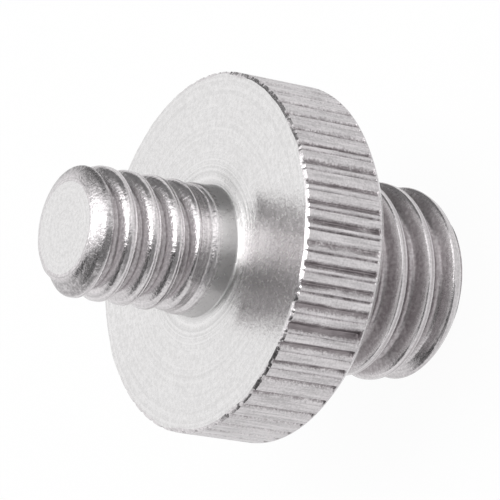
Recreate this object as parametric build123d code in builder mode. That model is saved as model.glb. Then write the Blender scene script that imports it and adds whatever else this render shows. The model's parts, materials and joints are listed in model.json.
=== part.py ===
from build123d import *
import math
import os

# Tripod thread adapter: one turned metal piece with a 1/4 inch stud, a knurled disc and a 3/8 inch stud.
# Millimetres, +Z up. It stands on the end of the large stud, and the origin is the centre of that end face.

inch = 25.4

# Disc between the two studs
disc_diameter = 16.8
disc_thickness = 4.5
top_chamfer_width = 0.20
top_chamfer_height = 0.12
bottom_chamfer = 0.40

# Straight knurl around the disc
knurl_grooves = 55
knurl_azimuth = 3.6
knurl_depth = 0.18
knurl_groove_angle = 90.0
knurl_end_margin = 0.06

# Small stud on top, a 1/4 inch thread
small_major_diameter = 6.12
small_threads_per_inch = 20
small_length = 7.4
small_plain_shank_length = 1.40
small_end_flat_diameter = 4.30
small_bevel_height = 0.55
small_crest_flat = 0.38
small_root_flat = 0.25
small_thread_azimuth = -165.0

# Large stud below, a 3/8 inch thread
large_major_diameter = 9.36
large_threads_per_inch = 16
large_length = 7.6
large_plain_shank_length = 1.00
large_end_flat_diameter = 7.90
large_bevel_height = 0.90
large_crest_flat = 0.47
large_root_flat = 0.33
large_thread_azimuth = 147.5

# Form shared by both threads
flank_angle = 60.0
runout_turns = 0.6

# Rounded edges and inner corners
bevel_rounding = 0.20
shoulder_rounding = 0.12

# How far a cutting shape reaches past the metal that it cuts
cutter_overrun = 0.20

# Places that follow from the sizes above
disc_radius = disc_diameter / 2
small_radius = small_major_diameter / 2
large_radius = large_major_diameter / 2
small_pitch = inch / small_threads_per_inch
large_pitch = inch / large_threads_per_inch
disc_bottom = large_length
disc_top = disc_bottom + disc_thickness
overall_length = disc_top + small_length
flank_slope = math.tan(math.radians(flank_angle / 2))


def thread_groove(height, rise_angle, pitch, root_radius, mouth_radius, root_flat):
    """Right-hand groove from the +X axis up along +Z. A rise angle lifts it out of the metal on its way."""
    mouth_half = root_flat / 2 + (mouth_radius - root_radius) * flank_slope
    with BuildPart() as groove:
        with BuildLine() as path:
            Helix(pitch, height, root_radius, cone_angle=rise_angle)
        with BuildSketch(Plane.XZ):
            with BuildLine():
                Polyline(
                    (root_radius, -root_flat / 2),
                    (root_radius, root_flat / 2),
                    (mouth_radius, mouth_half),
                    (mouth_radius, -mouth_half),
                    close=True,
                )
            make_face()
        sweep(path=path.line, is_frenet=True)
    return groove.part


def thread_cutters(start, azimuth, toward_end, run, pitch, major_radius, crest_flat, root_flat):
    """Grooves from start past the stud's end, one solid for each turn, and the runout toward the disc."""
    root_radius = major_radius - (pitch - crest_flat - root_flat) / (2 * flank_slope)
    mouth_radius = major_radius + cutter_overrun
    runout_height = runout_turns * pitch
    rise_angle = math.degrees(math.atan((mouth_radius - root_radius) / runout_height))
    turn = thread_groove(pitch, 0, pitch, root_radius, mouth_radius, root_flat)
    runout = thread_groove(runout_height, rise_angle, pitch, root_radius, mouth_radius, root_flat)
    outward = Vector(1, 0, 0).rotate(Axis.Z, azimuth)
    to_end = Plane(origin=(0, 0, start), x_dir=outward, z_dir=(0, 0, toward_end))
    to_disc = Plane(origin=(0, 0, start), x_dir=outward, z_dir=(0, 0, -toward_end))
    turns = [to_end.location * Pos(0, 0, number * pitch) * turn for number in range(math.ceil(run / pitch))]
    return turns + [to_disc.location * runout]


small_start = disc_top + small_plain_shank_length + runout_turns * small_pitch
small_thread = thread_cutters(
    start=small_start,
    azimuth=small_thread_azimuth,
    toward_end=1,
    run=overall_length - small_start + small_pitch,
    pitch=small_pitch,
    major_radius=small_radius,
    crest_flat=small_crest_flat,
    root_flat=small_root_flat,
)
large_start = disc_bottom - large_plain_shank_length - runout_turns * large_pitch
large_thread = thread_cutters(
    start=large_start,
    azimuth=large_thread_azimuth,
    toward_end=-1,
    run=large_start + large_pitch,
    pitch=large_pitch,
    major_radius=large_radius,
    crest_flat=large_crest_flat,
    root_flat=large_root_flat,
)

# Adapter, turned in one piece
with BuildPart() as thread_adapter:
    # Turned outline from the axis outward, the large stud's end first
    with BuildSketch(Plane.XZ) as outline:
        with BuildLine():
            Polyline(
                (0, 0),
                (large_end_flat_diameter / 2, 0),
                (large_radius, large_bevel_height),
                (large_radius, disc_bottom),
                (disc_radius - bottom_chamfer, disc_bottom),
                (disc_radius, disc_bottom + bottom_chamfer),
                (disc_radius, disc_top - top_chamfer_height),
                (disc_radius - top_chamfer_width, disc_top),
                (small_radius, disc_top),
                (small_radius, overall_length - small_bevel_height),
                (small_end_flat_diameter / 2, overall_length),
                (0, overall_length),
                close=True,
            )
        make_face()
        for radius, height in (
            (large_end_flat_diameter / 2, 0),
            (large_radius, large_bevel_height),
            (small_radius, overall_length - small_bevel_height),
            (small_end_flat_diameter / 2, overall_length),
        ):
            fillet(outline.vertices().sort_by_distance((radius, height))[0], bevel_rounding)
        for radius, height in ((large_radius, disc_bottom), (small_radius, disc_top)):
            fillet(outline.vertices().sort_by_distance((radius, height))[0], shoulder_rounding)
    revolve(axis=Axis.Z)

    # Threads, cut turn by turn
    for cutter in small_thread + large_thread:
        add(cutter, mode=Mode.SUBTRACT)

    # Knurl grooves, open at the top face and ending short of the bottom chamfer
    knurl_length = disc_thickness - bottom_chamfer - knurl_end_margin
    knurl_half_width = (knurl_depth + cutter_overrun) * math.tan(math.radians(knurl_groove_angle / 2))
    with BuildSketch(Plane.XY.offset(disc_top)):
        with PolarLocations(disc_radius - knurl_depth, knurl_grooves, start_angle=knurl_azimuth):
            Polygon(
                (0, 0),
                (knurl_depth + cutter_overrun, -knurl_half_width),
                (knurl_depth + cutter_overrun, knurl_half_width),
                align=None,
            )
    extrude(amount=-knurl_length, mode=Mode.SUBTRACT)

thread_adapter.part.label = "thread_adapter"

os.makedirs("parts", exist_ok=True)
export_step(thread_adapter.part, "parts/thread_adapter.step")
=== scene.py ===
"""Tripod thread adapter: the finished metal of its knurled disc and two threaded studs, in a plain studio."""

import json
import math
import random

import bmesh
import bpy
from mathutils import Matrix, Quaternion, Vector, noise


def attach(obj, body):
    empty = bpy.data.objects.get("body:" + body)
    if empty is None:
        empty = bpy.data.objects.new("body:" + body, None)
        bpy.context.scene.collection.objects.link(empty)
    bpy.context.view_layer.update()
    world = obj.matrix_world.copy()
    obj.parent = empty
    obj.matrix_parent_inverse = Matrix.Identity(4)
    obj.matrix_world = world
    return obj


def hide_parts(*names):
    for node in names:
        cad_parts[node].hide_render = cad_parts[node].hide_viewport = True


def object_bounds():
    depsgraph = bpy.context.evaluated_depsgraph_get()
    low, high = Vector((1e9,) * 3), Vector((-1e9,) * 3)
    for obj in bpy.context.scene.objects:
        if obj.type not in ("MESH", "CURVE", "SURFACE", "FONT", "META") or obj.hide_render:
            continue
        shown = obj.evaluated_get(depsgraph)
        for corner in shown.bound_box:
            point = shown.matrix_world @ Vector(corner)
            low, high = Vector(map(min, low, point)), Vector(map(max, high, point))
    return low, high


bl_info = {
    "name": "Tripod Thread Adapter",
    "version": (1, 0, 0),
    "blender": (4, 5, 0),
    "location": "3D View > Sidebar > Thread Adapter",
    "description": "Turned and knurled metal adapter with a thread at each end",
    "category": "Object",
}

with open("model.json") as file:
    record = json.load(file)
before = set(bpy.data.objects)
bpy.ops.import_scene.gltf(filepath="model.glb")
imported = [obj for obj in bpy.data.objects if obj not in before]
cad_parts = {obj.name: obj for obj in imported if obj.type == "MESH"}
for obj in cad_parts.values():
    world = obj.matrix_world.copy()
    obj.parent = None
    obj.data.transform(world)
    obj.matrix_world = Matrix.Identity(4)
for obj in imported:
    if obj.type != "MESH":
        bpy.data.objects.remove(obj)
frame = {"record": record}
cad_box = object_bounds()

MM = 0.001
INCH = 25.4 * MM

BODY = "root"
NODE = "thread_adapter"
SLOT = "turned_metal"

# Places and sizes that the frame gives
mounts = {mount["name"]: mount for mount in frame["record"]["mounts"]}
SMALL, LARGE = mounts["small_stud"], mounts["large_stud"]
DISC_TOP = SMALL["pos_m"][2]
DISC_BOTTOM = LARGE["pos_m"][2]
DISC_RADIUS = (cad_box[1].x - cad_box[0].x) / 2
METAL_COLOUR = next(row for row in frame["record"]["materials"] if row["slot"] == SLOT)["base_color"]

# Mesh columns around the axis: the disc has several for each one on a stud
GROOVES = 55
COLUMNS_PER_GROOVE = 15
FINE_PER_COARSE = 5
FINE_COLUMNS = GROOVES * COLUMNS_PER_GROOVE
COARSE_COLUMNS = FINE_COLUMNS // FINE_PER_COARSE

# Numbers of the material slots on the mesh
FACE, END, EDGE, KNURL, SMALL_THREAD, LARGE_THREAD = range(6)


def length(name, description, default):
    """A length property in metres."""
    return bpy.props.FloatProperty(
        name=name, description=description, default=default, min=0, unit="LENGTH", precision=5
    )


def angle(name, description, degrees):
    """An angle property with its default in degrees."""
    return bpy.props.FloatProperty(
        name=name, description=description, default=math.radians(degrees), subtype="ANGLE"
    )


def fraction(name, description, default):
    """A property from 0 to 1."""
    return bpy.props.FloatProperty(name=name, description=description, default=default, min=0, max=1)


def tint(name, description, default):
    """A colour property."""
    return bpy.props.FloatVectorProperty(
        name=name, description=description, default=default, subtype="COLOR", size=3, min=0, max=1
    )


class StudSizes(bpy.types.PropertyGroup):
    """Sizes of one threaded stud, the small one by default. Reach is the distance from the disc's face."""

    radius: length("Radius", "Radius over the thread's crests", SMALL["dims"]["r_mm"] * MM)
    reach: length("Length", "Length from the disc's face to the stud's end", SMALL["dims"]["length_mm"] * MM)
    pitch: length("Pitch", "Distance from crest to crest", INCH / 20)
    crest: length("Crest width", "Width of the flat crest", 0.38 * MM)
    root: length("Root width", "Width of the groove's bottom", 0.25 * MM)
    shank: length("Shank", "Plain length beside the disc", 1.40 * MM)
    runout: length("Runout", "Length over which the groove rises out of the metal", 0.76 * MM)
    end_radius: length("End radius", "Radius of the flat end", 2.15 * MM)
    bevel: length("Bevel height", "Height of the bevel around the end", 0.55 * MM)
    root_rounding: length("Root rounding", "Reach of the rounding at the groove's bottom", 0.06 * MM)
    seam: length("Seam depth", "Depth of the rolling seam along the crest", 0.012 * MM)
    seam_width: length("Seam width", "Width of the rolling seam", 0.04 * MM)
    seam_offset: length(
        "Seam offset", "Distance of the seam from the crest's middle, toward the disc", 0.06 * MM
    )
    relief: length("Relief depth", "Depth of the shallow ring where the thread starts", 0.0)
    groove_reach: length("Groove reach", "Reach of the groove's centre at the groove azimuth", 2.16 * MM)
    groove_azimuth: angle(
        "Groove azimuth", "Direction around the axis at which the groove's reach is given", -165.0
    )


class DiscSizes(bpy.types.PropertyGroup):
    """Sizes of the knurled disc."""

    top_chamfer_width: length("Top chamfer width", "Radial width of the narrow top chamfer", 0.17 * MM)
    top_chamfer_height: length("Top chamfer height", "Height of the narrow top chamfer", 0.12 * MM)
    bottom_chamfer: length("Bottom chamfer", "Width and height of the bottom chamfer", 0.40 * MM)
    knurl_depth: length("Knurl depth", "Depth of the knurl's main grooves", 0.18 * MM)
    track_depth: length("Track depth", "Depth of the second, fainter line beside a main groove", 0.10 * MM)
    knurl_margin: length("Knurl margin", "Plain width between the knurl and the bottom chamfer", 0.06 * MM)
    fillet: length("Shoulder fillet", "Radius of the inner corner between disc and stud", 0.12 * MM)
    burr: length("Burr", "Height of the burrs along the top edge", 0.03 * MM)
    knurl_azimuth: angle("Knurl azimuth", "Direction of the first knurl groove around the axis", 3.6)
    seed: bpy.props.IntProperty(name="Seed", description="Seed of the knurl's uneven grooves", default=7)


class FinishValues(bpy.types.PropertyGroup):
    """Colours and gloss of the metal, and the colour of its painted shade."""

    metal: tint("Metal colour", "Colour of the plated metal", METAL_COLOUR[:3])
    rolled: tint("Rolled colour", "Colour of the duller metal on threads and knurl", (0.645, 0.62, 0.63))
    # Painted shade: a dark colour painted into the knurl's grooves, the threads' roots and the crest seams,
    # where shade falls
    painted_shade: tint("Groove colour", "Colour of the metal deep in the grooves", (0.31, 0.28, 0.29))
    face_roughness: fraction("Face roughness", "Roughness of the turned faces", 0.24)
    thread_roughness: fraction("Thread roughness", "Roughness of the threads", 0.17)
    knurl_roughness: fraction("Knurl roughness", "Roughness of the knurl", 0.30)


class StudioValues(bpy.types.PropertyGroup):
    """The camera and the light around the adapter."""

    aim: bpy.props.FloatVectorProperty(
        name="Aim",
        description="Point that the camera looks at",
        default=(0.44 * MM, -1.21 * MM, 10.27 * MM),
        subtype="TRANSLATION",
        size=3,
    )
    distance: length("Distance", "Distance from the camera to its aim", 169.4 * MM)
    azimuth: angle("Azimuth", "Direction from which the camera looks", -0.18)
    elevation: angle("Elevation", "Height of the camera above the horizon", 33.42)
    roll: angle("Roll", "Turn of the camera about its own axis", -80.1)
    lens: bpy.props.FloatProperty(
        name="Lens", description="Focal length in millimetres", default=265.3, min=1
    )
    light_level: bpy.props.FloatProperty(
        name="Light level", description="Brightness of the surroundings", default=1.0, min=0
    )
    card_colour: fraction("Card grey", "Grey of the cards, which each card takes a share of", 0.27)
    lamp_power: bpy.props.FloatProperty(
        name="Lamp power", description="Share of the lamps' usual power", default=1.0, min=0
    )


class Skin:
    """Rings of points, joined ring by ring into one skin."""

    def __init__(self):
        self.points = []
        self.faces = []
        self.finishes = []

    def ring(self, points):
        """Adds a ring and returns the numbers of its points."""
        start = len(self.points)
        self.points.extend(points)
        return list(range(start, len(self.points)))

    def face(self, corners, finish):
        """Adds one face."""
        self.faces.append(corners)
        self.finishes.append(finish)

    def band(self, first, second, finish):
        """Joins two rings with as many points as each other."""
        for i in range(len(first)):
            j = (i + 1) % len(first)
            self.face((first[i], first[j], second[j], second[i]), finish)

    def bands(self, rings, finish):
        """Joins each ring to the next."""
        for first, second in zip(rings, rings[1:]):
            self.band(first, second, finish)

    def fan(self, coarse, fine, finish):
        """Joins a coarse ring to one with several points for each of its own."""
        middle = FINE_PER_COARSE // 2
        for i, corner in enumerate(coarse):
            after = coarse[(i + 1) % len(coarse)]
            run = [fine[(i * FINE_PER_COARSE + step) % len(fine)] for step in range(FINE_PER_COARSE + 1)]
            for step in range(FINE_PER_COARSE):
                self.face((corner if step <= middle else after, run[step], run[step + 1]), finish)
                if step == middle:
                    self.face((corner, run[step + 1], after), finish)

    def disc(self, centre, ring, finish):
        """Closes a ring with triangles around its centre."""
        middle = self.ring([centre])[0]
        for i in range(len(ring)):
            self.face((middle, ring[i], ring[(i + 1) % len(ring)]), finish)


def polar(radius, azimuth, height):
    """A point from its radius, its azimuth and its height."""
    return Vector((radius * math.cos(azimuth), radius * math.sin(azimuth), height))


def smooth_min(a, b, blend):
    """The lower of two values, with a rounded meeting."""
    near = max(blend - abs(a - b), 0.0) / blend
    return min(a, b) - near * near * blend / 4


def smooth_max(a, b, blend):
    """The higher of two values, with a rounded meeting."""
    return -smooth_min(-a, -b, blend)


def smooth_step(low, high, value):
    """0 below low, 1 above high and a smooth rise between them."""
    share = min(max((value - low) / (high - low), 0.0), 1.0)
    return share * share * (3 - 2 * share)


# The thread: its flanks, the rounding on the two sides of its crest, and its unevenness
FLANK_SLOPE = math.tan(math.radians(30.0))
DISC_SIDE_BLEND = 0.09 * MM
END_SIDE_BLEND = 0.32 * MM
WOBBLE = 0.008 * MM
WOBBLE_RADIUS = 0.9
WOBBLE_SCALE = 3

# The bevel: the rounding where it meets the thread, and how strongly it swells
BEVEL_BLEND = 0.30 * MM
BEVEL_BULGE = 0.7

# The flat end: the rounding of its edge, the room left before it, and its rings
END_ROUNDING = 0.20 * MM
END_MARGIN = 0.02 * MM
ROUNDING_STEPS = 4
FLAT_SHARES = (0.96, 0.6, 0.2)

# The shallow ring: its deepest side, its two edges counted from the shank's end, and its depth
RELIEF_AZIMUTH = math.radians(-92.0)
RELIEF_RISE = (-0.34 * MM, -0.04 * MM)
RELIEF_FALL = (0.44 * MM, 0.70 * MM)
SMALL_RELIEF = 0.19 * MM


class Stud:
    """The surface of one threaded stud."""

    def __init__(self, sizes, base, way):
        self.sizes = sizes
        self.base = base
        self.way = way
        self.root_radius = sizes.radius - (sizes.pitch - sizes.crest - sizes.root) / (2 * FLANK_SLOPE)
        self.mouth_half = (sizes.pitch - sizes.crest) / 2
        self.bevel_slope = (sizes.radius - sizes.end_radius) / sizes.bevel
        self.end_angle = math.atan2(1.0, self.bevel_slope * (1 + BEVEL_BULGE))

    def bevel_radius(self, reach):
        """Radius of the slightly rounded bevel."""
        share = min(max((self.sizes.reach - reach) / self.sizes.bevel, 0.0), 1.0)
        bulge = BEVEL_BULGE * share * (1 - share) * (self.sizes.radius - self.sizes.end_radius)
        return self.sizes.end_radius + (self.sizes.reach - reach) * self.bevel_slope + bulge

    def radius(self, reach, azimuth):
        """Radius of the stud's surface at one reach and azimuth."""
        sizes = self.sizes
        turn = (azimuth - sizes.groove_azimuth) / math.tau
        offset = reach - sizes.groove_reach - self.way * sizes.pitch * turn
        across = offset - round(offset / sizes.pitch) * sizes.pitch
        rise = max(0.0, sizes.shank + sizes.runout - reach + across) / sizes.runout
        bottom = self.root_radius + rise * (sizes.radius - self.root_radius)
        flank = bottom + (abs(across) - sizes.root / 2) / FLANK_SLOPE
        groove = smooth_max(bottom, flank, sizes.root_rounding)
        from_crest = across - math.copysign(sizes.pitch / 2, across)
        from_seam = (from_crest + sizes.seam_offset) / sizes.seam_width
        started = smooth_step(sizes.shank, sizes.shank + sizes.runout, reach)
        crest = sizes.radius - started * sizes.seam * math.exp(-from_seam * from_seam)
        crest -= self.relief(reach, azimuth)
        thread = smooth_min(groove, crest, DISC_SIDE_BLEND if from_crest < 0 else END_SIDE_BLEND)
        place = polar(WOBBLE_RADIUS, azimuth, reach / MM * WOBBLE_RADIUS)
        thread += WOBBLE * started * noise.noise(place * WOBBLE_SCALE)
        return smooth_min(thread, self.bevel_radius(reach), BEVEL_BLEND)

    def relief(self, reach, azimuth):
        """Depth of the shallow ring where the thread starts, which is deepest on one side."""
        sizes = self.sizes
        if not sizes.relief:
            return 0.0
        side = 0.5 + 0.5 * math.cos(azimuth - RELIEF_AZIMUTH)
        rise = smooth_step(sizes.shank + RELIEF_RISE[0], sizes.shank + RELIEF_RISE[1], reach)
        fall = 1 - smooth_step(sizes.shank + RELIEF_FALL[0], sizes.shank + RELIEF_FALL[1], reach)
        return sizes.relief * side * rise * fall

    def level_end(self):
        """Reach at which the thread's rows end level: past the groove, and short of the rounded edge."""
        sizes = self.sizes
        past_groove = sizes.reach - (self.root_radius - BEVEL_BLEND - sizes.end_radius) / self.bevel_slope
        rounding = END_ROUNDING * (1 - math.cos(self.end_angle))
        return min(past_groove, sizes.reach - rounding - END_MARGIN)

    def point(self, reach, azimuth):
        """The surface's point at one reach and azimuth."""
        return polar(self.radius(reach, azimuth), azimuth, self.base + self.way * reach)


# Shares of the half root, the flank and the half crest at which the thread's mesh rows lie
ROOT_SHARE = 0.6
FLANK_SHARES = (0.0, 0.07, 0.18, 0.48, 0.68, 0.80, 0.90, 1.0)
CREST_SHARES = (0.18, 0.42, 0.62, 0.82)


def thread_rows(stud):
    """Places of the mesh rows across one pitch, from one groove's centre to the next."""
    sizes = stud.sizes
    root_half = sizes.root / 2
    half = [ROOT_SHARE * root_half]
    half += [root_half + share * (stud.mouth_half - root_half) for share in FLANK_SHARES]
    half += [stud.mouth_half + share * (sizes.pitch / 2 - stud.mouth_half) for share in CREST_SHARES]
    return [0.0] + half + [sizes.pitch / 2] + [sizes.pitch - place for place in reversed(half)]


def coarse_azimuths():
    """Azimuths of the columns on the studs."""
    return [math.tau * i / COARSE_COLUMNS for i in range(COARSE_COLUMNS)]


def level_ring(skin, stud, radius, reach):
    """A round ring at one reach of a stud."""
    height = stud.base + stud.way * reach
    return skin.ring([polar(radius, azimuth, height) for azimuth in coarse_azimuths()])


# Points nearer than this to the thread's level ends are moved onto them
SNAP = 0.006 * MM


def add_thread(skin, stud, low, high, finish):
    """Mesh rows that follow the thread, cut off level at both ends."""
    sizes = stud.sizes
    rows = thread_rows(stud)
    azimuths = coarse_azimuths()
    start = sizes.groove_reach - stud.way * sizes.pitch * sizes.groove_azimuth / math.tau
    first_turn = math.floor((low - start) / sizes.pitch) - 1
    last_turn = math.ceil((high - start) / sizes.pitch) + 1
    places = [start + turn * sizes.pitch + row for turn in range(first_turn, last_turn + 1) for row in rows]
    rings = []
    for place in places:
        points = []
        for azimuth in azimuths:
            reach = place + stud.way * sizes.pitch * azimuth / math.tau
            if reach < low + SNAP:
                reach = low
            if reach > high - SNAP:
                reach = high
            points.append(stud.point(reach, azimuth))
        rings.append(skin.ring(points))
    last = len(rings) - 1
    for k in range(last):
        for i in range(COARSE_COLUMNS):
            if i + 1 < COARSE_COLUMNS:
                near, far = rings[k][i + 1], rings[k + 1][i + 1]
            else:
                # The last column meets the first one a pitch further on
                shift = stud.way * len(rows)
                near = rings[min(max(k + shift, 0), last)][0]
                far = rings[min(max(k + 1 + shift, 0), last)][0]
            if near != far:
                skin.face((rings[k][i], near, far, rings[k + 1][i]), finish)


def add_end(skin, stud, high, edge_finish):
    """The last stretch of the bevel and the flat end of a stud."""
    sizes = stud.sizes
    centre_radius = sizes.end_radius - END_ROUNDING * math.tan(stud.end_angle / 2)
    centre_reach = sizes.reach - END_ROUNDING
    rings = [skin.ring([stud.point(high, azimuth) for azimuth in coarse_azimuths()])]
    for step in range(ROUNDING_STEPS + 1):
        lean = stud.end_angle * (1 - step / ROUNDING_STEPS)
        radius = centre_radius + END_ROUNDING * math.sin(lean)
        rings.append(level_ring(skin, stud, radius, centre_reach + END_ROUNDING * math.cos(lean)))
    skin.bands(rings, edge_finish)
    flat = [rings[-1]]
    for share in FLAT_SHARES:
        flat.append(level_ring(skin, stud, share * centre_radius, sizes.reach))
    skin.bands(flat, END)
    skin.disc(Vector((0, 0, stud.base + stud.way * sizes.reach)), flat[-1], END)


# The shank's rings as shares of the length below the thread's rows, and the distance of the rings beside
# the inner corner as a share of the fillet
SHANK_SHARES = (0.8, 0.4)
PAST_FILLET = 1.3


def add_shank(skin, stud, low, fillet, outer_radius, fine, finish):
    """The plain shank, its inner corner and the start of the disc's face."""
    radius = stud.sizes.radius
    rings = [skin.ring([stud.point(low, azimuth) for azimuth in coarse_azimuths()])]
    for share in SHANK_SHARES:
        rings.append(level_ring(skin, stud, radius, low * share))
    rings.append(level_ring(skin, stud, radius, fillet * PAST_FILLET))
    for step in range(ROUNDING_STEPS + 1):
        turn = math.pi / 2 * step / ROUNDING_STEPS
        reach = fillet * (1 - math.sin(turn))
        rings.append(level_ring(skin, stud, radius + fillet * (1 - math.cos(turn)), reach))
    skin.bands(rings, finish)
    face = [
        rings[-1],
        level_ring(skin, stud, radius + fillet * PAST_FILLET, 0.0),
        level_ring(skin, stud, outer_radius, 0.0),
    ]
    skin.bands(face, FACE)
    skin.fan(face[-1], fine, FACE)


# The knurl's columns, as shares of the way from one groove's centre to the next
GROOVE_EDGE = 0.19
TRACK_CENTRE = 0.62
TRACK_HALF = 0.07
KNURL_SHARES = (0.0, 0.05, 0.12, 0.19, 0.23, 0.38, 0.50, 0.545, 0.59, 0.62, 0.65, 0.695, 0.77, 0.81, 0.88)
KNURL_BOTTOM = 0.05

# Unevenness of the knurl: ranges of the random draws, and how far a groove strays along its length
GROOVE_JITTER = 0.06
DEPTH_RANGE = (0.72, 1.0)
EDGE_RANGE = (0.72, 1.1)
TRACK_RANGE = (0.5, 1.0)
GROOVE_STRAY = 0.03
STRAY_STEP = 3.7
STRAY_SCALE = 0.55

# The side with the deepest and widest grooves, and the azimuth past which grooves have a second track
DEEP_AZIMUTH = math.radians(-106.5)
DEEP_SPREAD = math.radians(7.0)
DEEPER = 0.55
WIDER = 0.8
TRACK_FADE_AZIMUTH = math.radians(-130.0)
TRACK_FADE = math.radians(8.0)


class Knurl:
    """Uneven straight grooves around the disc."""

    def __init__(self, sizes):
        self.sizes = sizes
        chance = random.Random(sizes.seed)
        spacing = math.tau / GROOVES
        self.centres = []
        self.depths = []
        self.edges = []
        self.tracks = []
        for number in range(GROOVES):
            azimuth = sizes.knurl_azimuth + number * spacing
            self.centres.append(azimuth + spacing * chance.uniform(-GROOVE_JITTER, GROOVE_JITTER))
            away = math.remainder(azimuth - DEEP_AZIMUTH, math.tau) / DEEP_SPREAD
            deep = math.exp(-away * away)
            self.depths.append(chance.uniform(*DEPTH_RANGE) + DEEPER * deep)
            self.edges.append(GROOVE_EDGE * (chance.uniform(*EDGE_RANGE) + WIDER * deep))
            past = math.remainder(azimuth - TRACK_FADE_AZIMUTH, math.tau)
            self.tracks.append(chance.uniform(*TRACK_RANGE) * smooth_step(-TRACK_FADE, TRACK_FADE, past))
        self.columns = []
        for number in range(GROOVES):
            here = self.centres[number]
            there = self.centres[(number + 1) % GROOVES] + (math.tau if number == GROOVES - 1 else 0.0)
            for share in KNURL_SHARES:
                self.columns.append((here + share * (there - here), number, share))

    def depth(self, number, share):
        """Depth of the knurl at a share of the way from one groove to the next."""
        after = (number + 1) % GROOVES
        main = 0.0
        for distance, which in ((share, number), (1 - share, after)):
            reach = (self.edges[which] - distance) / (self.edges[which] - KNURL_BOTTOM)
            main = max(main, self.depths[which] * min(max(reach, 0.0), 1.0))
        track = 1 - abs(share - TRACK_CENTRE) / TRACK_HALF
        fine = self.sizes.track_depth * self.tracks[number] * max(track, 0.0)
        return max(main * self.sizes.knurl_depth, fine)

    def stray(self, number, share, height):
        """Angle by which the uneven grooves on either side carry a column along at one height."""
        away = 0.0
        for part, which in ((1 - share, number), (share, (number + 1) % GROOVES)):
            away += part * noise.noise(Vector((STRAY_STEP * which, STRAY_SCALE * height / MM, 0.0)))
        return away * GROOVE_STRAY * math.tau / GROOVES


# Distances of the disc's rings from its edges and from the ends of the knurl
FACE_RING = 0.9 * MM
NEAR_RING = 0.12 * MM
BURR_RING = 0.05 * MM
BURR_END = 0.13 * MM
KNURL_FULL = 0.10 * MM
KNURL_FADING = 0.03 * MM

# Numbers of rings: down the knurl, on each face, down to the rim's start and up to its end
KNURL_ROWS = 14
FACE_RINGS = 3
RIM_START = 5
RIM_END = 4


def disc_levels(sizes):
    """Radius, height, knurl share and burr share of the disc's rings, from the top down."""
    top, bottom = DISC_TOP, DISC_BOTTOM
    rim_top = top - sizes.top_chamfer_height
    rim_bottom = bottom + sizes.bottom_chamfer
    groove_end = rim_bottom + sizes.knurl_margin
    inner = DISC_RADIUS - sizes.top_chamfer_width
    levels = [
        (inner - FACE_RING, top, 0.0, 0.0),
        (inner - NEAR_RING, top, 0.0, 0.0),
        (inner, top, 0.0, 0.0),
        ((inner + DISC_RADIUS) / 2, (top + rim_top) / 2, 0.3, 0.3),
        (DISC_RADIUS, rim_top, 0.7, 0.8),
        (DISC_RADIUS, rim_top - BURR_RING, 1.0, 0.6),
        (DISC_RADIUS, rim_top - BURR_END, 1.0, 0.1),
    ]
    for step in range(1, KNURL_ROWS):
        height = rim_top - BURR_END + (groove_end + BURR_END - rim_top) * step / KNURL_ROWS
        levels.append((DISC_RADIUS, height, 1.0, 0.0))
    levels += [
        (DISC_RADIUS, groove_end + KNURL_FULL, 1.0, 0.0),
        (DISC_RADIUS, groove_end + KNURL_FADING, 0.8, 0.0),
        (DISC_RADIUS, groove_end, 0.0, 0.0),
        (DISC_RADIUS, rim_bottom, 0.0, 0.0),
        (DISC_RADIUS - sizes.bottom_chamfer / 2, rim_bottom - sizes.bottom_chamfer / 2, 0.0, 0.0),
        (DISC_RADIUS - sizes.bottom_chamfer, bottom, 0.0, 0.0),
        (DISC_RADIUS - sizes.bottom_chamfer - NEAR_RING, bottom, 0.0, 0.0),
        (DISC_RADIUS - sizes.bottom_chamfer - FACE_RING, bottom, 0.0, 0.0),
    ]
    return levels


def fine_azimuth(column, sizes):
    """Evenly spread azimuth of a column of the disc."""
    return sizes.knurl_azimuth + math.tau * column / FINE_COLUMNS


# Unevenness of the disc. The rough layers have a scale and a height in millimetres
CHAMFER_WOBBLE = 0.10 * MM
CHAMFER_WAVES = 6.0
ROUGH_LAYERS = ((3.1, 0.012), (9.0, 0.022))
FULL_ROUGH_CUT = 0.05 * MM
LAND_WEAR = 0.3
CUT_CHANGE = 0.35
CUT_SCALE = 2.3
CUT_SHIFT = Vector((9, 0, 0))
BURR_SCALE = 2.6
BURR_START = 0.1
LAND_CUT = 0.02 * MM
LAND_BURR = 0.4

# Rings further in than this, past the bottom chamfer, have evenly spread columns
EVEN_BEYOND = 0.5 * MM


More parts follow.
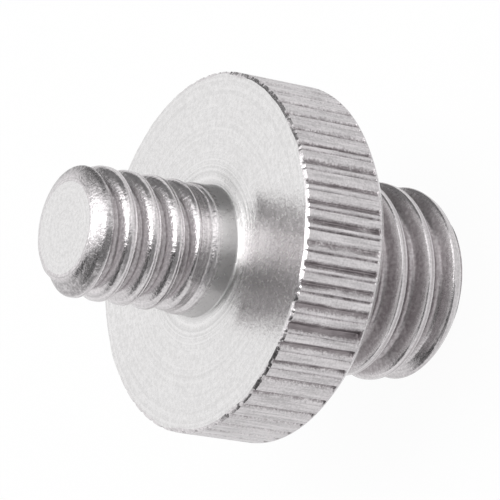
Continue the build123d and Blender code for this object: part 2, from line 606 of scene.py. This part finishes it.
def add_disc(skin, sizes):
    """The knurled disc between its two faces. Returns its first and its last ring."""
    knurl = Knurl(sizes)
    levels = disc_levels(sizes)
    inner = levels[FACE_RINGS - 1][0]
    rings = []
    for level_radius, height, knurl_share, burr_share in levels:
        points = []
        for column, (azimuth, number, share) in enumerate(knurl.columns):
            radius = level_radius
            if knurl_share:
                azimuth += knurl.stray(number, share, height)
            elif abs(radius - DISC_RADIUS) > sizes.bottom_chamfer + EVEN_BEYOND:
                azimuth = fine_azimuth(column, sizes)
            place = polar(DISC_RADIUS / MM, azimuth, height / MM)
            cut = knurl.depth(number, share) * knurl_share
            rough = sum(noise.noise(place * scale) * rise * MM for scale, rise in ROUGH_LAYERS)
            groove = DISC_RADIUS - cut * (1 + CUT_CHANGE * noise.noise(place * CUT_SCALE + CUT_SHIFT))
            if radius == inner:
                radius += CHAMFER_WOBBLE * noise.noise(polar(CHAMFER_WAVES, azimuth, 0.0))
            out = min(radius, groove)
            if knurl_share:
                out += rough * min(1.0, cut / FULL_ROUGH_CUT) - abs(rough) * LAND_WEAR
            lump = max(0.0, noise.noise(place * BURR_SCALE) - BURR_START)
            out += sizes.burr * burr_share * lump * (LAND_BURR if cut < LAND_CUT else 1.0)
            points.append(polar(min(out, DISC_RADIUS), azimuth, height))
        rings.append(skin.ring(points))
    rim_end = len(rings) - RIM_END
    skin.bands(rings[:FACE_RINGS], FACE)
    skin.bands(rings[FACE_RINGS - 1:RIM_START], EDGE)
    skin.bands(rings[RIM_START - 1:rim_end], KNURL)
    skin.bands(rings[rim_end - 1:len(rings) - FACE_RINGS + 1], EDGE)
    skin.bands(rings[-FACE_RINGS:], FACE)
    return rings[0], rings[-1]


# Edges sharper than this stay sharp, and points nearer than this become one
SHARP_ANGLE = math.radians(32.0)
MERGE_DISTANCE = 0.0008 * MM


def mesh_from(skin, name):
    """The skin as one closed mesh with smooth faces and sharp corners."""
    model = bmesh.new()
    corners = [model.verts.new(point) for point in skin.points]
    for face, finish in zip(skin.faces, skin.finishes):
        made = model.faces.new([corners[i] for i in face])
        made.material_index = finish
        made.smooth = True
    bmesh.ops.remove_doubles(model, verts=model.verts, dist=MERGE_DISTANCE)
    bmesh.ops.dissolve_degenerate(model, edges=model.edges, dist=MERGE_DISTANCE / 2)
    bmesh.ops.recalc_face_normals(model, faces=model.faces)
    for edge in model.edges:
        if len(edge.link_faces) != 2:
            raise RuntimeError("the adapter's skin is open")
        edge.smooth = edge.calc_face_angle() < SHARP_ANGLE
    mesh = bpy.data.meshes.new(name)
    model.to_mesh(mesh)
    model.free()
    return mesh


# A quarter turn, which lays the highlights across the lathe's rings
ACROSS_THE_RINGS = 0.25


class Nodes:
    """Short calls for a material's nodes."""

    def __init__(self, name):
        self.material = bpy.data.materials.new(name)
        self.material.use_nodes = True
        self.tree = self.material.node_tree
        self.tree.nodes.clear()

    def add(self, kind, settings=None, **inputs):
        """Adds a node. An input is a value or another node's output."""
        made = self.tree.nodes.new(kind)
        for name, value in (settings or {}).items():
            setattr(made, name, value)
        for name, value in inputs.items():
            self.put(made.inputs[name], value)
        return made

    def put(self, socket, value):
        """Sets a socket to a value or links it to an output."""
        if isinstance(value, bpy.types.NodeSocket):
            self.tree.links.new(value, socket)
        else:
            socket.default_value = value

    def math(self, operation, *values):
        """A Math node's result."""
        made = self.add("ShaderNodeMath", {"operation": operation})
        for socket, value in zip(made.inputs, values):
            self.put(socket, value)
        return made.outputs[0]

    def noise(self, vector, scale, detail=2.0, roughness=0.5):
        """Grey noise around one half."""
        inputs = {"Vector": vector, "Scale": scale, "Detail": detail, "Roughness": roughness}
        return self.add("ShaderNodeTexNoise", {"noise_dimensions": "3D"}, **inputs).outputs["Fac"]

    def line_noise(self, value, scale, detail=2.0, roughness=0.5):
        """Noise that changes along one value only."""
        inputs = {"W": value, "Scale": scale, "Detail": detail, "Roughness": roughness}
        return self.add("ShaderNodeTexNoise", {"noise_dimensions": "1D"}, **inputs).outputs["Fac"]

    def span(self, value, low, high, to_low=0.0, to_high=1.0):
        """A value's span stretched onto another one."""
        ends = {"From Min": low, "From Max": high, "To Min": to_low, "To Max": to_high}
        made = self.add("ShaderNodeMapRange", {"interpolation_type": "LINEAR"}, Value=value, **ends)
        return made.outputs[0]

    def mix_colour(self, share, first, second):
        """A mix of two colours."""
        made = self.add("ShaderNodeMix", {"data_type": "RGBA"})
        self.put(made.inputs[0], share)
        self.put(made.inputs[6], first)
        self.put(made.inputs[7], second)
        return made.outputs[2]

    def bump(self, height, strength, distance, under=None):
        """A bump's normal. Distance is in metres."""
        made = self.add("ShaderNodeBump", None, Height=height, Strength=strength, Distance=distance)
        if under is not None:
            self.put(made.inputs["Normal"], under)
        return made.outputs[0]

    def place(self):
        """The point in millimetres, its radius, its azimuth and its height."""
        coordinates = self.add("ShaderNodeTexCoord").outputs["Object"]
        scaled = self.add("ShaderNodeVectorMath", {"operation": "SCALE"}, Vector=coordinates, Scale=1 / MM)
        parts = self.add("ShaderNodeSeparateXYZ", None, Vector=scaled.outputs[0]).outputs
        flat = self.math("MULTIPLY", parts["X"], parts["X"])
        other = self.math("MULTIPLY", parts["Y"], parts["Y"])
        radius = self.math("SQRT", self.math("ADD", flat, other))
        azimuth = self.math("ARCTAN2", parts["Y"], parts["X"])
        return scaled.outputs[0], radius, azimuth, parts["Z"]

    def around(self, point, radius, scale, along):
        """Coordinates with one scale around the axis and another along it, and no joint at any azimuth."""
        share = self.math("DIVIDE", scale, radius)
        factors = self.add("ShaderNodeCombineXYZ", None, X=share, Y=share, Z=along).outputs[0]
        made = self.add("ShaderNodeVectorMath", {"operation": "MULTIPLY"})
        self.put(made.inputs[0], point)
        self.put(made.inputs[1], factors)
        return made.outputs[0]

    def metal(self, colour, roughness, normal, anisotropy=0.0, tangent=None):
        """The metal's shader and the material's output."""
        shader = self.add("ShaderNodeBsdfPrincipled", None, Metallic=1.0)
        self.put(shader.inputs["Base Color"], colour)
        self.put(shader.inputs["Roughness"], roughness)
        self.put(shader.inputs["Normal"], normal)
        shader.inputs["Anisotropic"].default_value = anisotropy
        if tangent is not None:
            shader.inputs["Anisotropic Rotation"].default_value = ACROSS_THE_RINGS
            self.put(shader.inputs["Tangent"], tangent)
        self.add("ShaderNodeOutputMaterial", None, Surface=shader.outputs[0])
        return self.material


def shade(colour, level=1.0):
    """A colour at a level of its brightness, with full alpha."""
    return (*(min(1.0, part * level) for part in colour), 1.0)


def ring_tangent(nodes):
    """The direction along the lathe's rings."""
    return nodes.add("ShaderNodeTangent", {"direction_type": "RADIAL", "axis": "Z"}).outputs[0]


# Turned faces: noise scales per millimetre, bump heights, and the shallow dish around a stud
RING_SCALE = 4.5
RING_HEIGHT = 0.010 * MM
SATIN_SCALE = 6.0
SATIN_HEIGHT = 0.011 * MM
DISH_HEIGHT = 0.40 * MM
DISH_POWER = 1.5
DISH_REACH = 1.7


def turned_face(name, finish, coarse_from, coarse_to, anisotropy):
    """Faced metal with fine concentric lathe rings, coarser toward the inner radius, and a satin grain."""
    nodes = Nodes(name)
    point, radius, *_ = nodes.place()
    rings = nodes.line_noise(radius, RING_SCALE, 3.0, 0.65)
    grain = nodes.noise(point, SATIN_SCALE, 3.0, 0.6)
    coarse = nodes.span(radius, coarse_from, coarse_to)
    strength = nodes.span(coarse, 0.0, 0.8, 0.45, 1.8)
    turned = nodes.math("MULTIPLY", nodes.math("SUBTRACT", rings, 0.5), strength)
    normal = nodes.bump(nodes.math("POWER", coarse, DISH_POWER), 1.0, DISH_HEIGHT)
    normal = nodes.bump(turned, 1.0, RING_HEIGHT, normal)
    normal = nodes.bump(grain, 1.0, SATIN_HEIGHT, normal)
    share = nodes.span(nodes.math("ADD", turned, grain), 0.33, 0.67)
    pale = nodes.mix_colour(share, shade(finish.metal, 0.89), shade(finish.metal, 1.05))
    rough = nodes.span(grain, 0.3, 0.7, finish.face_roughness - 0.04, finish.face_roughness + 0.05)
    return nodes.metal(pale, rough, normal, anisotropy, ring_tangent(nodes))


# Bevels and chamfers: noise scales per millimetre and bump heights
EDGE_LINE_SCALE = 14.0
EDGE_LINE_HEIGHT = 0.010 * MM
NICK_SCALE = 6.0
NICK_HEIGHT = 0.020 * MM


def bright_edge(finish):
    """Burnished metal of the bevels and chamfers."""
    nodes = Nodes("bright_edge")
    point, radius, _, height = nodes.place()
    lines = nodes.line_noise(nodes.math("ADD", radius, height), EDGE_LINE_SCALE, 4.0, 0.6)
    nicks = nodes.noise(point, NICK_SCALE, 5.0, 0.65)
    normal = nodes.bump(lines, 0.25, EDGE_LINE_HEIGHT)
    normal = nodes.bump(nicks, 0.45, NICK_HEIGHT, normal)
    share = nodes.span(nicks, 0.40, 0.60)
    colour = nodes.mix_colour(share, shade(finish.rolled, 0.86), shade(finish.rolled, 1.18))
    rough = nodes.span(nicks, 0.3, 0.7, finish.thread_roughness - 0.02, finish.thread_roughness + 0.08)
    return nodes.metal(colour, rough, normal)


# The knurl: noise scales, bump heights, and in millimetres the raggedness of the painted shade in the
# grooves and the depths at which it starts and is full
KNURL_GRAIN_SCALE = 9.0
KNURL_GRAIN_HEIGHT = 0.024 * MM
STREAK_SCALES = (60.0, 0.5)
STREAK_HEIGHT = 0.020 * MM
RAGGED = 0.40
DARK_START = 0.055
DARK_FULL = 0.16


def knurled_rim(finish):
    """Pressed knurl: satin lands, and rougher grooves with painted shade in them."""
    nodes = Nodes("knurled_rim")
    point, radius, *_ = nodes.place()
    rim = DISC_RADIUS / MM
    grain = nodes.noise(point, KNURL_GRAIN_SCALE, 4.0, 0.75)
    ragged = nodes.math("MULTIPLY", nodes.math("SUBTRACT", grain, 0.5), RAGGED)
    deep = nodes.span(nodes.math("ADD", radius, ragged), rim - DARK_START, rim - DARK_FULL)
    streaks = nodes.noise(nodes.around(point, radius, *STREAK_SCALES), 1.0, 3.0, 0.6)
    normal = nodes.bump(streaks, 0.5, STREAK_HEIGHT)
    normal = nodes.bump(grain, 1.0, KNURL_GRAIN_HEIGHT, normal)
    worn = nodes.span(nodes.math("ADD", streaks, grain), 0.8, 1.2)
    land = nodes.mix_colour(worn, shade(finish.rolled, 0.72), shade(finish.rolled, 1.14))
    # Painted shade: the grooves take the dark colour where they are deep
    colour = nodes.mix_colour(deep, land, shade(finish.painted_shade))
    rough = nodes.math("ADD", finish.knurl_roughness, nodes.math("MULTIPLY", deep, 0.15))
    return nodes.metal(colour, rough, normal)


def along_helix(nodes, stud, azimuth, height):
    """Distance along the axis from the middle of the nearest crest, in millimetres."""
    sizes = stud.sizes
    pitch = sizes.pitch / MM
    start = (stud.base + stud.way * sizes.groove_reach) / MM - pitch * sizes.groove_azimuth / math.tau
    rise = nodes.math("MULTIPLY", azimuth, pitch / math.tau)
    turns = nodes.math("DIVIDE", nodes.math("SUBTRACT", nodes.math("SUBTRACT", height, rise), start), pitch)
    return nodes.math("MULTIPLY", nodes.math("SUBTRACT", nodes.math("FRACT", turns), 0.5), pitch)


def seam_place(stud):
    """Distance of the seam from the crest's middle along the axis, in millimetres."""
    return -stud.way * stud.sizes.seam_offset / MM


# Threads: noise scales and bump heights
CHATTER_SCALES = (22.0, 1.2)
CHATTER_HEIGHT = 0.030 * MM
MOTTLE_SCALE = 6.0
MOTTLE_HEIGHT = 0.030 * MM
TURN_LINE_SCALE = 9.0
TURN_LINE_HEIGHT = 0.010 * MM
THREAD_GRAIN_SCALE = 8.0
THREAD_GRAIN_HEIGHT = 0.012 * MM


def rolled_thread(name, finish, stud, ripple, shade_height, darkest_shade, satin):
    """Rolled thread with its bevel and its shank.

    Ripple is the strength of the chatter on the flanks. Shade height is the height of the painted shade over
    the root in millimetres and darkest shade its darkest share. Satin is the largest share of painted shade,
    a darker mottled colour, on the bevel's outer part, which is also rougher there.
    """
    nodes = Nodes(name)
    point, radius, azimuth, height = nodes.place()
    crest_radius, root_radius = stud.sizes.radius / MM, stud.root_radius / MM
    end, bevel = (stud.base + stud.way * stud.sizes.reach) / MM, stud.way * stud.sizes.bevel / MM
    shank = (stud.base + stud.way * stud.sizes.shank) / MM

    # Where the flanks, the thread, the painted shade in the roots, the bevel's outer part and the plain shank
    # are
    thread = nodes.span(height, end - 1.1 * bevel, end - 1.4 * bevel)
    flank = nodes.math("MULTIPLY", nodes.span(radius, crest_radius - 0.02, crest_radius - 0.12), thread)
    deep = nodes.math("MULTIPLY", thread, nodes.span(radius, root_radius + shade_height, root_radius + 0.6 * shade_height))
    outer = nodes.span(height, end - 0.05 * bevel, end - 0.45 * bevel, 0.0, satin)
    outer = nodes.math("MULTIPLY", outer, nodes.math("SUBTRACT", 1.0, thread))
    plain = nodes.span(height, shank - stud.way * 0.2, shank - stud.way * 0.6)

    chatter = nodes.noise(nodes.around(point, radius, *CHATTER_SCALES), 1.0, 2.0, 0.5)
    grain = nodes.noise(point, THREAD_GRAIN_SCALE, 4.0, 0.6)
    rings = nodes.line_noise(height, TURN_LINE_SCALE, 4.0, 0.7)
    mottle = nodes.noise(point, MOTTLE_SCALE, 3.0, 0.65)
    normal = nodes.bump(nodes.math("MULTIPLY", chatter, flank), ripple, CHATTER_HEIGHT)
    normal = nodes.bump(mottle, 1.6 * ripple, MOTTLE_HEIGHT, normal)
    normal = nodes.bump(rings, 0.20, TURN_LINE_HEIGHT, normal)
    normal = nodes.bump(grain, 0.30, THREAD_GRAIN_HEIGHT, normal)

    worn = nodes.span(nodes.math("ADD", rings, grain), 0.8, 1.2)
    colour = nodes.mix_colour(worn, shade(finish.rolled, 0.78), shade(finish.rolled, 1.12))
    # Painted shade: a dark line along the seam near the middle of each crest
    seam = nodes.math("SUBTRACT", along_helix(nodes, stud, azimuth, height), seam_place(stud))
    seam = nodes.span(nodes.math("ABSOLUTE", seam), stud.sizes.seam_width / MM, 0.0, 0.0, 0.6)
    seam = nodes.math("MULTIPLY", seam, nodes.span(radius, crest_radius - 0.08, crest_radius - 0.04))
    colour = nodes.mix_colour(nodes.math("MULTIPLY", seam, thread), colour, shade(finish.painted_shade))
    # Painted shade: the roots darken, mottled, up to the shade height over the groove's bottom
    root_shade = nodes.math("MULTIPLY", deep, nodes.span(mottle, 0.38, 0.62, darkest_shade - 0.50, darkest_shade))
    colour = nodes.mix_colour(root_shade, colour, shade(finish.painted_shade))
    colour = nodes.mix_colour(plain, colour, shade(finish.metal, 0.86))
    # Painted shade: the bevel's outer part takes a darker, mottled colour that stands in for a dimmer
    # reflection there; it is also rougher
    outer = nodes.math("MULTIPLY", outer, nodes.span(mottle, 0.40, 0.58, 0.25, 1.0))
    colour = nodes.mix_colour(outer, colour, shade(finish.rolled, 0.55))

    rough = nodes.span(grain, 0.3, 0.7, finish.thread_roughness - 0.03, finish.thread_roughness + 0.06)
    for place, more in ((deep, 0.15), (plain, 0.12), (outer, 0.16)):
        rough = nodes.math("ADD", rough, nodes.math("MULTIPLY", place, more))
    return nodes.metal(colour, rough, normal)


# How far the thread's rows cover the shank, and width of the disc's face that has the stud's columns
PLAIN_BEFORE_RUNOUT = 0.50 * MM
FACE_START = 0.9 * MM


class ADAPTER_OT_body(bpy.types.Operator):
    """Builds the adapter's turned body over its solid"""

    bl_idname = "adapter.body"
    bl_label = "Turned Body"

    def execute(self, context):
        scene = context.scene
        disc, finish = scene.adapter_disc, scene.adapter_finish
        small = Stud(scene.adapter_small_stud, DISC_TOP, 1)
        large = Stud(scene.adapter_large_stud, DISC_BOTTOM, -1)
        skin = Skin()
        top, bottom = add_disc(skin, disc)
        for stud, finish_number, inner in ((small, SMALL_THREAD, top), (large, LARGE_THREAD, bottom)):
            sizes = stud.sizes
            low = sizes.shank - PLAIN_BEFORE_RUNOUT
            high = stud.level_end()
            add_thread(skin, stud, low, high, finish_number)
            add_end(skin, stud, high, EDGE)
            add_shank(skin, stud, low, disc.fillet, sizes.radius + FACE_START, inner, finish_number)
        body = bpy.data.objects.new("turned_adapter", mesh_from(skin, "turned_adapter"))
        scene.collection.objects.link(body)
        foot = small.sizes.radius / MM
        for material in (
            turned_face("disc_face", finish, coarse_from=foot + DISH_REACH, coarse_to=foot, anisotropy=0.6),
            turned_face("end_face", finish, coarse_from=0.0, coarse_to=-1.0, anisotropy=0.3),
            bright_edge(finish),
            knurled_rim(finish),
            rolled_thread("small_thread", finish, small, ripple=0.45, shade_height=0.10, darkest_shade=0.85, satin=1.0),
            rolled_thread("large_thread", finish, large, ripple=0.22, shade_height=0.66, darkest_shade=0.98, satin=0.3),
        ):
            body.data.materials.append(material)
        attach(body, BODY)
        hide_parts(NODE)
        return {"FINISHED"}


class ADAPTER_OT_studio(bpy.types.Operator):
    """Adds the floor, the light and the camera"""

    bl_idname = "adapter.studio"
    bl_label = "Studio"

    def execute(self, context):
        scene = context.scene
        studio = scene.adapter_studio
        add_world(scene, studio.light_level)
        add_floor(scene)
        for name, azimuths, elevations, share in CARDS:
            add_card(scene, name, azimuths, elevations, share * studio.card_colour)
        for name, azimuth, elevation, spread, watts in LAMPS:
            add_lamp(scene, studio, name, azimuth, elevation, spread, watts)
        add_camera(scene, studio)
        scene.view_settings.view_transform = "Standard"
        return {"FINISHED"}


def add_world(scene, level):
    """White surroundings."""
    world = bpy.data.worlds.new("studio")
    scene.world = world
    world.use_nodes = True
    background = world.node_tree.nodes["Background"]
    background.inputs["Color"].default_value = (1, 1, 1, 1)
    background.inputs["Strength"].default_value = level


# The floor's size in metres, and how much of the white that it shows is its own glow
FLOOR_SIZE = 4.0
FLOOR_GLOW = 0.95


def add_floor(scene):
    """A plain white floor under the adapter. It glows only for the camera and in reflections."""
    half = FLOOR_SIZE / 2
    corners = [(-half, -half, 0), (half, -half, 0), (half, half, 0), (-half, half, 0)]
    mesh = bpy.data.meshes.new("floor")
    mesh.from_pydata(corners, [], [(0, 1, 2, 3)])
    floor = bpy.data.objects.new("floor", mesh)
    scene.collection.objects.link(floor)
    nodes = Nodes("white_floor")
    path = nodes.add("ShaderNodeLightPath").outputs
    seen = nodes.math("MAXIMUM", path["Is Camera Ray"], path["Is Glossy Ray"])
    seen = nodes.math("MAXIMUM", seen, path["Is Transmission Ray"])
    paper = nodes.add("ShaderNodeBsdfDiffuse", None, Color=(0.9, 0.9, 0.9, 1)).outputs[0]
    glow = nodes.add("ShaderNodeEmission", None, Color=(1, 1, 1, 1), Strength=1.0).outputs[0]
    mixed = nodes.add("ShaderNodeMixShader", None, Fac=nodes.math("MULTIPLY", seen, FLOOR_GLOW))
    nodes.put(mixed.inputs[1], paper)
    nodes.put(mixed.inputs[2], glow)
    nodes.add("ShaderNodeOutputMaterial", None, Surface=mixed.outputs[0])
    mesh.materials.append(nodes.material)
    return floor


# Grey cards: azimuths and elevations in degrees, seen from the adapter, and share of the card grey
CARDS = (
    ("front_card", (208, 279), (0, 48), 1.55),
    ("high_card", (145, 265), (48, 72), 0.3),
    ("side_card", (148, 188), (28, 48), 0.5),
    ("right_card", (-15, 58), (2, 46), 1.1),
)
CARD_DISTANCE = 0.45
CARD_STEP = 5


def add_card(scene, name, azimuths, elevations, grey):
    """A grey card bent around the adapter. Only reflections and the light show it, not the camera."""
    across = max(1, round((azimuths[1] - azimuths[0]) / CARD_STEP))
    up = max(1, round((elevations[1] - elevations[0]) / CARD_STEP))
    points, faces = [], []
    for i in range(up + 1):
        elevation = math.radians(elevations[0] + (elevations[1] - elevations[0]) * i / up)
        for j in range(across + 1):
            azimuth = math.radians(azimuths[0] + (azimuths[1] - azimuths[0]) * j / across)
            radius = CARD_DISTANCE * math.cos(elevation)
            points.append(polar(radius, azimuth, CARD_DISTANCE * math.sin(elevation)))
    for i in range(up):
        for j in range(across):
            corner = i * (across + 1) + j
            faces.append((corner, corner + 1, corner + across + 2, corner + across + 1))
    mesh = bpy.data.meshes.new(name)
    mesh.from_pydata(points, [], faces)
    card = bpy.data.objects.new(name, mesh)
    scene.collection.objects.link(card)
    card.visible_camera = False
    nodes = Nodes(name)
    paper = nodes.add("ShaderNodeBsdfDiffuse", None, Color=(grey, grey, grey, 1)).outputs[0]
    nodes.add("ShaderNodeOutputMaterial", None, Surface=paper)
    mesh.materials.append(nodes.material)
    return card


# Soft lamps: azimuth, elevation and half spread in degrees, seen from the adapter, and power in watts
LAMPS = (
    ("top_lamp", 28, 76, 17, 0.27),
    ("side_lamp", 326, 60, 13, 0.15),
    ("shoulder_lamp", 283, 66, 10, 0.21),
    ("front_lamp", 316, 30, 16, 0.08),
)
LAMP_DISTANCE = 0.4


def add_lamp(scene, studio, name, azimuth, elevation, spread, watts):
    """A round soft lamp that faces the adapter."""
    data = bpy.data.lights.new(name, "AREA")
    lamp = bpy.data.objects.new(name, data)
    scene.collection.objects.link(lamp)
    data.shape = "DISK"
    data.size = 2 * LAMP_DISTANCE * math.tan(math.radians(spread))
    data.energy = studio.lamp_power * watts
    rise = math.radians(elevation)
    lean = polar(math.cos(rise), math.radians(azimuth), math.sin(rise))
    lamp.location = Vector(studio.aim) + lean * LAMP_DISTANCE
    lamp.rotation_mode = "QUATERNION"
    lamp.rotation_quaternion = (-lean).to_track_quat("-Z", "Y")
    lamp.visible_camera = False
    return lamp


def add_camera(scene, studio):
    """The camera, turned on its side about its own axis."""
    data = bpy.data.cameras.new("camera")
    camera = bpy.data.objects.new("camera", data)
    scene.collection.objects.link(camera)
    data.lens = studio.lens
    data.clip_start = studio.distance / 100
    data.clip_end = studio.distance * 100
    level = math.cos(studio.elevation)
    back = Vector(
        (math.sin(studio.azimuth) * level, -math.cos(studio.azimuth) * level, math.sin(studio.elevation))
    )
    camera.location = Vector(studio.aim) + back * studio.distance
    camera.rotation_mode = "QUATERNION"
    camera.rotation_quaternion = (-back).to_track_quat("-Z", "Y") @ Quaternion((0, 0, 1), studio.roll)
    scene.camera = camera


class ADAPTER_PT_panel(bpy.types.Panel):
    """Sizes, colours and steps of the adapter."""

    bl_idname = "ADAPTER_PT_panel"
    bl_label = "Thread Adapter"
    bl_space_type = "VIEW_3D"
    bl_region_type = "UI"
    bl_category = "Thread Adapter"

    def draw(self, context):
        layout = self.layout
        for name, label in SETTINGS:
            box = layout.box()
            box.label(text=label)
            group = getattr(context.scene, name)
            for prop in group.bl_rna.properties:
                if not prop.is_readonly and prop.identifier != "name":
                    box.prop(group, prop.identifier)
        for operator in OPERATORS:
            layout.operator(operator.bl_idname)


SETTINGS = (
    ("adapter_small_stud", "Small stud"),
    ("adapter_large_stud", "Large stud"),
    ("adapter_disc", "Disc"),
    ("adapter_finish", "Finish"),
    ("adapter_studio", "Studio"),
)
GROUPS = (StudSizes, StudSizes, DiscSizes, FinishValues, StudioValues)
OPERATORS = (ADAPTER_OT_body, ADAPTER_OT_studio)
CLASSES = (StudSizes, DiscSizes, FinishValues, StudioValues, *OPERATORS, ADAPTER_PT_panel)


def register():
    """Registers the classes and puts their settings on the scene."""
    for kind in CLASSES:
        bpy.utils.register_class(kind)
    for (name, label), group in zip(SETTINGS, GROUPS):
        setattr(bpy.types.Scene, name, bpy.props.PointerProperty(name=label, type=group))


def unregister():
    """Takes the settings and the classes away again."""
    for name, _ in SETTINGS:
        delattr(bpy.types.Scene, name)
    for kind in reversed(CLASSES):
        bpy.utils.unregister_class(kind)


def set_large_stud(sizes):
    """Sizes of the large stud, where they differ from the small stud's."""
    sizes.radius = LARGE["dims"]["r_mm"] * MM
    sizes.reach = LARGE["dims"]["length_mm"] * MM
    sizes.pitch = INCH / 16
    sizes.crest = 0.36 * MM
    sizes.root = 0.39 * MM
    sizes.shank = 1.00 * MM
    sizes.runout = 0.95 * MM
    sizes.end_radius = 3.95 * MM
    sizes.bevel = 0.90 * MM
    sizes.root_rounding = 0.24 * MM
    sizes.seam = 0.014 * MM
    sizes.seam_width = 0.10 * MM
    sizes.seam_offset = 0
    sizes.groove_reach = 1.9525 * MM
    sizes.groove_azimuth = math.radians(147.5)


def main():
    """Builds the adapter and its studio."""
    register()
    scene = bpy.context.scene
    scene.adapter_small_stud.relief = SMALL_RELIEF
    set_large_stud(scene.adapter_large_stud)
    for operator in OPERATORS:
        group, name = operator.bl_idname.split(".")
        getattr(getattr(bpy.ops, group), name)()
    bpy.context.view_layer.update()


if __name__ == "__main__":
    main()
